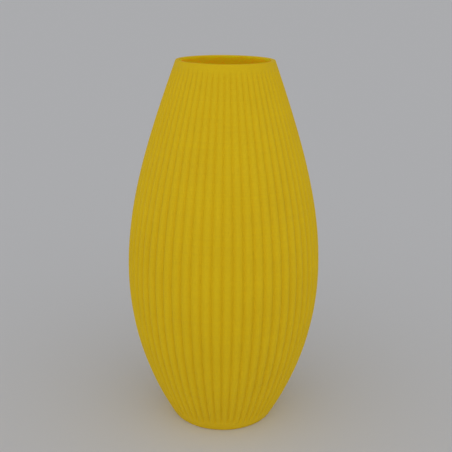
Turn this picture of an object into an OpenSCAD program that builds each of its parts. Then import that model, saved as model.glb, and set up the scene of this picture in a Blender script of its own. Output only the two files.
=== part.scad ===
// Ribbed vase, printed in one piece with its axis upright.
// Its outline is an arc from the foot to the belly, a flatter arc above the belly and a
// straight neck tangent to that arc. Flutes sunk along the outline leave the ribs between them.
// The origin is the middle of the underside.

/* [Body] */
// Height from the underside of the foot to the top of the rim
vase_h = 250; // [240:1:260]
// Diameter over the ribs at the belly
belly_d = 131.4; // [126:0.2:136]
// Height of the belly, where the vase is widest
belly_z = 106; // [100:1:112]
// Diameter of the foot
foot_d = 71.4; // [66:0.2:76]
// Outer diameter of the rim
rim_d = 65; // [61:0.2:70]
// Angle between the straight neck and the axis, in degrees
neck_lean = 18.6; // [17:0.1:19]

/* [Ribs] */
// Number of ribs around the vase
rib_count = 60; // [48:1:66]
// Depth of a flute at the belly
flute_depth = 1.5; // [1:0.1:1.5]
// Depth of a flute at the rim and at the foot
flute_end_depth = 0.8; // [0.5:0.1:0.8]
// Width of a flute as a share of the distance between two ribs
flute_share = 0.45; // [0.45:0.05:0.6]
// Height of the smooth band above the underside
foot_band = 6; // [4:0.5:12]
// Height of the smooth band below the top
rim_band = 4; // [3:0.5:10]

/* [Walls] */
// Thickness of the wall behind the flutes
wall_t = 1.8; // [1.2:0.1:4]
// Thickness of the floor
floor_t = 3; // [2:0.5:6]

/* [Hidden] */

belly_r = belly_d / 2;
foot_r = foot_d / 2;
rim_r = rim_d / 2;
rib_pitch = 360 / rib_count;
flute_angle = rib_pitch * flute_share;
arc_fn = 360;
turn_fn = 180;

// Radius of the arc that leaves the belly upright and reaches the foot.
function lower_arc_r(belly, foot) = (pow(belly - foot, 2) + pow(belly_z, 2)) / (2 * (belly - foot));

// Radius of the arc that leaves the belly upright and meets the neck's line smoothly.
function upper_arc_r(belly, rim) =
    ((vase_h - belly_z) * sin(neck_lean) - (belly - rim) * cos(neck_lean)) / (1 - cos(neck_lean));

// Half of the vase's section with radii belly, foot and rim, moved in by inset.
module half_section(belly, foot, rim, inset = 0) {
    lower_r = lower_arc_r(belly, foot);
    upper_r = upper_arc_r(belly, rim);
    neck_z = belly_z + (upper_r - inset) * sin(neck_lean);
    neck_r = belly - upper_r + (upper_r - inset) * cos(neck_lean);
    intersection() {
        translate([belly - lower_r, belly_z]) circle(r = lower_r - inset, $fn = arc_fn);
        square([belly, belly_z]);
    }
    intersection() {
        translate([belly - upper_r, belly_z]) circle(r = upper_r - inset, $fn = arc_fn);
        translate([0, belly_z]) square([belly, neck_z - belly_z]);
    }
    polygon([
        [0, belly_z / 2],
        [foot, belly_z / 2],
        [neck_r, neck_z],
        [neck_r - (vase_h - neck_z) * tan(neck_lean), vase_h],
        [0, vase_h]
    ]);
}

// Section at the ribs' tops, which is the outside of the vase.
module outer_section() {
    half_section(belly_r, foot_r, rim_r);
}

// Section at the bottom of the flutes, moved in by inset.
module flute_floor_section(inset = 0) {
    half_section(belly_r - flute_depth, foot_r - flute_end_depth, rim_r - flute_end_depth, inset);
}

module cavity_section() {
    intersection() {
        flute_floor_section(wall_t);
        translate([0, floor_t]) square([belly_r, vase_h]);
    }
}

// One flute between two ribs, from the foot band to the rim band.
module flute() {
    rotate([0, 0, (rib_pitch - flute_angle) / 2])
        rotate_extrude(angle = flute_angle, $fn = turn_fn)
            difference() {
                translate([0, foot_band]) square([belly_r + wall_t, vase_h - foot_band - rim_band]);
                flute_floor_section();
            }
}

module vase() {
    color("gold")
        difference() {
            rotate_extrude($fn = turn_fn) outer_section();
            rotate_extrude($fn = turn_fn) cavity_section();
            for (i = [0 : rib_count - 1])
                rotate([0, 0, i * rib_pitch]) flute();
        }
}

vase();
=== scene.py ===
"""Ribbed vase: the printed body, its yellow plastic, a pale studio and the camera."""
import math

import bpy
from mathutils import Euler, Matrix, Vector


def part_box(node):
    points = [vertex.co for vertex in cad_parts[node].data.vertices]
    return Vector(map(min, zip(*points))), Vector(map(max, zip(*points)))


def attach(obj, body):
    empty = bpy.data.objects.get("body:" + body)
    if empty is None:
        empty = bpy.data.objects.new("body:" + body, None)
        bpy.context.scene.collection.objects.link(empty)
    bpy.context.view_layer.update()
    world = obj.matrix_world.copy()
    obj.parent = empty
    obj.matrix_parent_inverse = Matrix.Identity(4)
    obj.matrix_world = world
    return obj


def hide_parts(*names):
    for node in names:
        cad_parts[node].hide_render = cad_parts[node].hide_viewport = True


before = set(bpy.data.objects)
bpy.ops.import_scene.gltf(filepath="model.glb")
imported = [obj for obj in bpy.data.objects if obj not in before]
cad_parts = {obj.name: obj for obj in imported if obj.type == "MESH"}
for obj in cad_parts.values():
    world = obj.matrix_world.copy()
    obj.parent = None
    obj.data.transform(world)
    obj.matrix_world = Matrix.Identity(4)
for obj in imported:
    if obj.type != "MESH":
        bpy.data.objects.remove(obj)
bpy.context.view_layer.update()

MM = 0.001

# ---------------------------------------------------------------- sizes of the body
low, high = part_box("vase")
HEIGHT = high.z - low.z
BELLY_R = (high.x - low.x) / 2

# The outline over the ribs is one cubic Bezier curve: (radius, height) as shares of the height.
OUTLINE = ((0.1455, 0.0), (0.3510, 0.3669), (0.2514, 0.6686), (0.1284, 1.0))
WALL = 2.9 * MM               # thickness of the wall over a rib
BASE = 3.0 * MM               # thickness of the floor inside the vase
LIP_ROUND = 0.5 * MM          # radius of both edges of the lip
FOOT_ROUND = 0.8 * MM         # radius of the foot's edge
BEADS = 4                     # printed lines side by side in the rim
BEAD_RISE = 0.04 * MM         # height of these lines

# ---------------------------------------------------------------- sizes of the ribs
RIB_COUNT = 60
# Places across a rib, from its top at 0 to the bottom of the groove at 1, closer near the groove.
RIB_PLACES = (0.0, 0.24, 0.48, 0.70, 0.88, 1.0)
RIB_DEPTH = (0.0335, 0.0265)  # depth of the grooves as a share of the radius, at the foot and at the rim
RIB_START = 4.5 * MM          # the grooves begin at this height above the underside
RIB_RISE = 7.0 * MM           # and reach their full depth over this height
RIB_END = 2.0 * MM            # they end at this distance below the rim
RIB_FALL = 6.0 * MM           # and fade out over this height
RIB_INSIDE = 6.0 * MM         # the inside's grooves end this much lower than the outside's
RIB_TURN = math.radians(2.25)  # a rib's top lies this far to the right of the front

# ---------------------------------------------------------------- fineness of the mesh
OUTSIDE_RINGS = 76
INSIDE_RINGS = 40
FOOT_STEPS = 6                # steps round the foot's edge
LIP_STEPS = 5                 # steps round each edge of the lip
BEAD_STEPS = 4                # steps across each printed line in the rim
DISC_SHARES = (0.0, 0.08, 0.3, 0.6, 0.85)  # radii of rings on the underside and on the floor inside
BASE_EDGE = 0.97              # and of one more ring near the edge of the floor, as shares of their own
CROWDING = 0.85               # how far the rings crowd towards both ends of the wall, from 0 to 1


def bezier(t, part):
    """One coordinate of the outline at t from 0 to 1: part 0 is the radius and 1 the height."""
    a, b, c, d = (p[part] for p in OUTLINE)
    s = 1 - t
    return a * s**3 + 3 * b * s * s * t + 3 * c * s * t * t + d * t**3


WIDEST = max(bezier(i / 2000, 0) for i in range(2001))


def outline_radius(z):
    """Radius over the ribs at height z, found by halving the range of t until its height is z."""
    share = min(max((z - low.z) / HEIGHT, 0.0), 1.0)
    lower, upper = 0.0, 1.0
    for _ in range(40):
        t = (lower + upper) / 2
        if bezier(t, 1) < share:
            lower = t
        else:
            upper = t
    return bezier(t, 0) * BELLY_R / WIDEST


def smooth(x):
    """0 below 0, 1 above 1 and an S-shaped rise between them."""
    x = min(max(x, 0.0), 1.0)
    return x * x * (3 - 2 * x)


def crowd(t):
    """0 to 1, with closer steps near both ends."""
    return t - CROWDING * math.sin(2 * math.pi * t) / (2 * math.pi)


def groove_depth(z):
    """Depth of the grooves at height z. They fade out above the foot and below the rim."""
    up = smooth((z - low.z - RIB_START) / RIB_RISE)
    down = smooth((high.z - RIB_END - z) / RIB_FALL)
    share = RIB_DEPTH[0] + (RIB_DEPTH[1] - RIB_DEPTH[0]) * (z - low.z) / HEIGHT
    return outline_radius(z) * share * up * down


# ---------------------------------------------------------------- the vase
# A ring is (radius, height, depth of its grooves).
def underside():
    """Rings of the flat underside, from its middle, and of the foot's rounded edge."""
    flat_r = outline_radius(low.z) - FOOT_ROUND
    rings = [(flat_r * share, low.z, 0.0) for share in DISC_SHARES]
    for i in range(FOOT_STEPS + 1):
        a = math.pi / 2 * i / FOOT_STEPS
        z = low.z + FOOT_ROUND * (1 - math.cos(a))
        rings.append((outline_radius(z) - FOOT_ROUND * (1 - math.sin(a)), z, 0.0))
    return rings


def outside():
    """Rings of the ribbed outside, from the foot's edge up to the lip."""
    rings = []
    bottom, top = low.z + FOOT_ROUND, high.z - LIP_ROUND
    for i in range(1, OUTSIDE_RINGS):
        z = bottom + (top - bottom) * crowd(i / OUTSIDE_RINGS)
        rings.append((outline_radius(z), z, groove_depth(z)))
    return rings


def rim():
    """Rings of the lip: rounded edges, with the printed lines side by side between them."""
    rings = []
    outer = outline_radius(high.z - LIP_ROUND)
    angles = [math.pi / 2 * i / LIP_STEPS for i in range(LIP_STEPS + 1)]
    for a in angles:
        z = high.z - LIP_ROUND * (1 - math.sin(a))
        rings.append((outer - LIP_ROUND * (1 - math.cos(a)), z, 0.0))
    flat = WALL - 2 * LIP_ROUND
    for i in range(1, BEADS * BEAD_STEPS):
        share = i / (BEADS * BEAD_STEPS)
        dip = BEAD_RISE * abs(math.cos(math.pi * share * BEADS))
        rings.append((outer - LIP_ROUND - flat * share, high.z - dip, 0.0))
    for a in angles:
        z = high.z - LIP_ROUND * (1 - math.cos(a))
        rings.append((outer - WALL + LIP_ROUND * (1 - math.sin(a)), z, 0.0))
    return rings


def inside():
    """Rings of the inside wall, from the lip down, and of the floor to its middle."""
    rings = []
    top, bottom = high.z - LIP_ROUND, low.z + BASE
    for i in range(1, INSIDE_RINGS + 1):
        z = top + (bottom - top) * crowd(i / INSIDE_RINGS)
        rings.append((outline_radius(z) - WALL, z, groove_depth(z + RIB_INSIDE)))
    floor_r, z, _ = rings[-1]
    return rings + [(floor_r * share, z, 0.0) for share in (BASE_EDGE,) + DISC_SHARES[::-1]]


def turns():
    """(cosine, sine, share of the groove's depth) of each point around the vase. A rib is convex,
    so its side is a parabola, and two ribs meet in a narrow groove."""
    half = math.pi / RIB_COUNT
    across = RIB_PLACES + tuple(2 - u for u in RIB_PLACES[-2:0:-1])
    found = []
    for rib in range(RIB_COUNT):
        for u in across:
            angle = RIB_TURN - math.pi / 2 + (2 * rib + u) * half
            found.append((math.cos(angle), math.sin(angle), min(u, 2 - u) ** 2))
    return found


def make_vase():
    """One closed mesh through all the rings. A ring of radius 0 is a single point."""
    rings = underside() + outside() + rim()
    last_of_rim = len(rings) - 1
    rings += inside()
    circle = turns()
    around = len(circle)

    points, starts = [], []
    for radius, z, depth in rings:
        starts.append(len(points))
        if radius == 0:
            points.append((0, 0, z))
        else:
            points += [((radius - depth * w) * c, (radius - depth * w) * s, z) for c, s, w in circle]

    faces = []
    for k in range(len(rings) - 1):
        a, b = starts[k], starts[k + 1]
        for i in range(around):
            j = (i + 1) % around
            if rings[k][0] == 0:
                faces.append((a, b + j, b + i))
            elif rings[k + 1][0] == 0:
                faces.append((a + i, a + j, b))
            else:
                faces.append((a + i, a + j, b + j, b + i))

    mesh = bpy.data.meshes.new("ribbed_vase")
    mesh.from_pydata(points, [], faces)
    mesh.validate()
    mesh.shade_smooth()
    mesh.materials.append(yellow_plastic("yellow_print_plastic", OUTSIDE_TONES, 0.0))
    # The inside's brighter tones are painted glow of light coming through the wall. Its subsurface light
    # is real.
    mesh.materials.append(yellow_plastic("yellow_print_plastic_inside_painted_glow", INSIDE_PAINTED_GLOW_TONES, 1.0))
    # The second material covers everything inwards of the rim's last ring.
    for face in mesh.polygons:
        face.material_index = int(min(face.vertices) >= starts[last_of_rim])
    piece = bpy.data.objects.new("ribbed_vase", mesh)
    bpy.context.scene.collection.objects.link(piece)
    return piece


# ---------------------------------------------------------------- nodes
def new_material(name):
    material = bpy.data.materials.new(name)
    material.use_nodes = True
    tree = material.node_tree
    return material, tree, tree.nodes["Principled BSDF"]


def put(tree, socket, value):
    """Link value to the socket, or set it there when it is a number or a vector."""
    if isinstance(value, bpy.types.NodeSocket):
        tree.links.new(value, socket)
    else:
        socket.default_value = value


def math_node(tree, operation, *values):
    node = tree.nodes.new("ShaderNodeMath")
    node.operation = operation
    for socket, value in zip(node.inputs, values):
        put(tree, socket, value)
    return node.outputs["Value"]


def vector_math(tree, operation, *values):
    node = tree.nodes.new("ShaderNodeVectorMath")
    node.operation = operation
    for socket, value in zip(node.inputs, values):
        put(tree, socket, value)
    return node.outputs["Value" if operation == "DOT_PRODUCT" else "Vector"]


def noise(tree, where, scale=1.0, detail=2.0):
    """Smooth noise around 0.5, with a feature about every 1 / scale metres."""
    node = tree.nodes.new("ShaderNodeTexNoise")
    node.inputs["Scale"].default_value = scale
    node.inputs["Detail"].default_value = detail
    tree.links.new(where, node.inputs["Vector"])
    return node.outputs["Fac"]


def spread_to(tree, value, start, end, to_start, to_end, smoothly=False):
    """Carry value from the range start..end to the range to_start..to_end, kept inside it."""
    node = tree.nodes.new("ShaderNodeMapRange")
    node.interpolation_type = "SMOOTHSTEP" if smoothly else "LINEAR"
    for name, number in (("From Min", start), ("From Max", end), ("To Min", to_start), ("To Max", to_end)):
        node.inputs[name].default_value = number
    tree.links.new(value, node.inputs["Value"])
    return node.outputs["Result"]


def blend(tree, factor, a, b, kind="FLOAT"):
    """a where factor is 0 and b where it is 1."""
    node = tree.nodes.new("ShaderNodeMix")
    node.data_type = kind
    for name, value in (("Factor", factor), ("A", a), ("B", b)):
        put(tree, node.inputs[name], value)
    return node.outputs["Result"]


def beads(tree, distance, width):
    """Height from 0 to 1 of printed lines of this width, side by side along distance."""
    turn = math_node(tree, "MULTIPLY", distance, math.pi / width)
    return math_node(tree, "ABSOLUTE", math_node(tree, "SINE", turn))


# ---------------------------------------------------------------- plastic
# Two tones of the plastic outside. Inside, two brighter and more orange tones: painted glow for the light
# that comes through the wall, added to the real subsurface light of the inside's material.
OUTSIDE_TONES = ((0.797, 0.533, 0.0054, 1), (0.840, 0.578, 0.0064, 1))
INSIDE_PAINTED_GLOW_TONES = ((0.927, 0.576, 0.0052, 1), (0.977, 0.625, 0.0062, 1))
SHINE = 0.165                 # specular level
ROUGHNESS = (0.62, 0.76)      # from the glossiest band of layers to the dullest
GLOW = 40.0 * MM              # how far red light travels inside the plastic
GLOW_SHARES = (1.0, 0.18, 0.03)  # of this distance, for red, green and blue light

LAYER = 0.3 * MM              # height of a printed layer
LINE = 0.48 * MM              # width of a printed line on the floor and the underside
RELIEF = 0.030 * MM           # depth of the grooves between layers and between lines
GRAIN = 0.8                   # rise of the fine grain as a share of RELIEF

BAND_SCALES = (8, 8, 1000)    # features of the bands per metre, along X, Y and Z
CLOUD_SCALE = 35              # features of the clouds per metre
GRAIN_SCALE = 900             # features of the grain per metre,
GRAIN_STRETCH = (1, 1, 4)     # times these along X, Y and Z
BAND_PART = 0.4               # this share of the tone comes from the bands, the rest from the clouds
NOISE_RANGE = (0.3, 0.7)      # the noise's values that become 0 and 1
FLAT_RANGE = (0.7, 0.9)       # how upright a normal is where the layers give way to flat lines


def yellow_plastic(name, tones, light_through):
    """Satin print plastic: fine layer lines, bands of layers that differ a little in tone and
    gloss, faint clouds of colour, and straight lines on the flat floor and underside. The share
    light_through of the surface glows with the light that comes through the wall."""
    material, tree, shader = new_material(name)
    shader.inputs["Specular IOR Level"].default_value = SHINE
    shader.inputs["Subsurface Weight"].default_value = light_through
    shader.inputs["Subsurface Radius"].default_value = GLOW_SHARES
    shader.inputs["Subsurface Scale"].default_value = GLOW

    coordinates = tree.nodes.new("ShaderNodeTexCoord")
    place = coordinates.outputs["Object"]
    across = vector_math(tree, "DOT_PRODUCT", place, (math.sqrt(0.5), math.sqrt(0.5), 0))
    height = vector_math(tree, "DOT_PRODUCT", place, (0, 0, 1))
    upright = vector_math(tree, "DOT_PRODUCT", coordinates.outputs["Normal"], (0, 0, 1))
    flat = spread_to(tree, math_node(tree, "ABSOLUTE", upright), *FLAT_RANGE, 0, 1, smoothly=True)
    # The rim is flat too, but its lines go round it and are part of the mesh.
    flat = math_node(tree, "MULTIPLY", flat, math_node(tree, "LESS_THAN", height, 2 * BASE))

    bands = noise(tree, vector_math(tree, "MULTIPLY", place, BAND_SCALES))
    clouds = noise(tree, place, CLOUD_SCALE, detail=3.0)
    grain = noise(tree, vector_math(tree, "MULTIPLY", place, GRAIN_STRETCH), GRAIN_SCALE)

    tone = math_node(tree, "ADD", math_node(tree, "MULTIPLY", bands, BAND_PART),
                     math_node(tree, "MULTIPLY", clouds, 1 - BAND_PART))
    colour = blend(tree, spread_to(tree, tone, *NOISE_RANGE, 0, 1), *tones, kind="RGBA")
    tree.links.new(colour, shader.inputs["Base Color"])
    tree.links.new(spread_to(tree, bands, *NOISE_RANGE, *ROUGHNESS), shader.inputs["Roughness"])

    lines = blend(tree, flat, beads(tree, height, LAYER), beads(tree, across, LINE))
    relief = math_node(tree, "ADD", lines, math_node(tree, "MULTIPLY", grain, GRAIN))
    bump = tree.nodes.new("ShaderNodeBump")
    bump.inputs["Strength"].default_value = 1.0
    bump.inputs["Distance"].default_value = RELIEF
    tree.links.new(relief, bump.inputs["Height"])
    tree.links.new(bump.outputs["Normal"], shader.inputs["Normal"])
    return material


# ---------------------------------------------------------------- studio
FLOOR_HALF = 60.0                 # half the side of the floor, in metres
FLOOR_GAP = 0.05 * MM             # the floor stays this far under the vase
FLOOR_COLOUR = (0.690, 0.696, 0.718)
FLOOR_ROUGHNESS = 0.9
SKY = 0.80                        # brightness of the light
SKY_LEAN = (-0.02, -0.45, -0.40)  # brighter from the front and low down, and a little from the left
BACKDROP = (0.405, 0.410, 0.422)  # colour seen past the end of the floor, close to the lit floor's


def make_floor():
    material, _, shader = new_material("pale_paper")
    shader.inputs["Base Color"].default_value = (*FLOOR_COLOUR, 1)
    shader.inputs["Roughness"].default_value = FLOOR_ROUGHNESS
    shader.inputs["Specular IOR Level"].default_value = 0.0

    z = low.z - FLOOR_GAP
    corners = [(x * FLOOR_HALF, y * FLOOR_HALF, z) for x, y in ((-1, -1), (1, -1), (1, 1), (-1, 1))]
    mesh = bpy.data.meshes.new("floor")
    mesh.from_pydata(corners, [], [(0, 1, 2, 3)])
    mesh.materials.append(material)
    floor = bpy.data.objects.new("floor", mesh)
    bpy.context.scene.collection.objects.link(floor)


def make_world():
    """Soft light from all around, and an even backdrop where the camera sees past the floor."""
    world = bpy.data.worlds.new("studio")
    world.use_nodes = True
    tree = world.node_tree
    light = tree.nodes["Background"]
    light.inputs["Color"].default_value = (1.0, 1.0, 1.0, 1)
    where = tree.nodes.new("ShaderNodeTexCoord").outputs["Generated"]
    lean = vector_math(tree, "DOT_PRODUCT", where, tuple(v * SKY for v in SKY_LEAN))
    tree.links.new(math_node(tree, "ADD", lean, SKY), light.inputs["Strength"])

    backdrop = tree.nodes.new("ShaderNodeBackground")
    backdrop.inputs["Color"].default_value = (*BACKDROP, 1)
    seen = tree.nodes.new("ShaderNodeMixShader")
    tree.links.new(tree.nodes.new("ShaderNodeLightPath").outputs["Is Camera Ray"], seen.inputs[0])
    tree.links.new(light.outputs["Background"], seen.inputs[1])
    tree.links.new(backdrop.outputs["Background"], seen.inputs[2])
    tree.links.new(seen.outputs["Shader"], tree.nodes["World Output"].inputs["Surface"])
    bpy.context.scene.world = world


# ---------------------------------------------------------------- camera
LENS = 59.23                  # focal length in mm for a sensor 36 mm wide
CAMERA_BACK = 1.9401          # distance in front of the vase's axis, in heights of the vase
CAMERA_UP = 1.1853            # height above the underside, in heights of the vase
LOOK_DOWN = 0.3155            # this and the next two are in radians
LOOK_RIGHT = 0.0029
ROLL = 0.0102


def make_camera():
    data = bpy.data.cameras.new("camera")
    data.sensor_width = 36.0
    data.lens = LENS
    data.clip_start = 0.01
    data.clip_end = 100
    camera = bpy.data.objects.new("camera", data)
    camera.location = (0, -CAMERA_BACK * HEIGHT, CAMERA_UP * HEIGHT)
    aim = Euler((math.pi / 2 - LOOK_DOWN, 0, -LOOK_RIGHT)).to_matrix()
    camera.rotation_euler = (aim @ Matrix.Rotation(ROLL, 3, "Z")).to_euler()
    bpy.context.scene.collection.objects.link(camera)
    bpy.context.scene.camera = camera


vase = make_vase()
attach(vase, "root")
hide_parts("vase")
make_floor()
make_world()
make_camera()
bpy.context.scene.view_settings.view_transform = "Standard"
